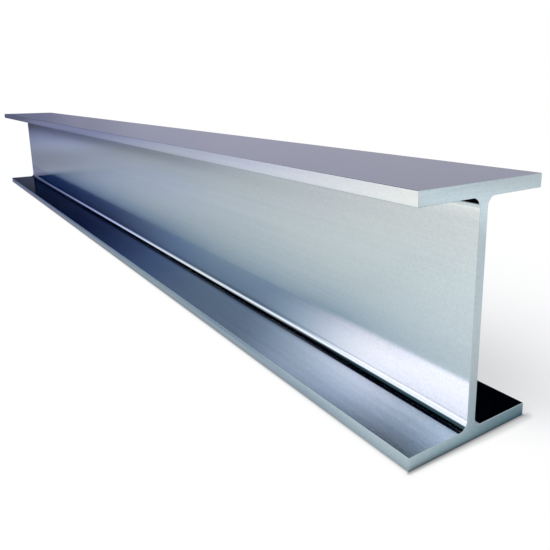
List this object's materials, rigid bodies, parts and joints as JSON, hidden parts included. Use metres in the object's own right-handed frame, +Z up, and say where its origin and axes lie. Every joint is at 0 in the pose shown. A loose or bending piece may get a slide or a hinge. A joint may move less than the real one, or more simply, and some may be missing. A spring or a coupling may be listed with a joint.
{
  "type": "steel i-beam",
  "caption": "Parallel-flange steel I-beam, rolled in one piece with root fillets at the web and sawn square at both ends.",
  "frame": {"origin": "middle of the beam's length, on the underside of the lower flange and under the centre of the web", "axes": "+X along the beam, +Y across the flanges, +Z up through the web to the upper flange"},
  "size_m": [1.34, 0.103, 0.16],
  "materials": {
    "rolled_steel": "bare rolled steel, satin and clean, slightly blue, with faint rolling lines along its length and finely sawn ends"
  },
  "bodies": {
    "root": {"i_beam": "rolled_steel"}
  },
  "joints": []
}
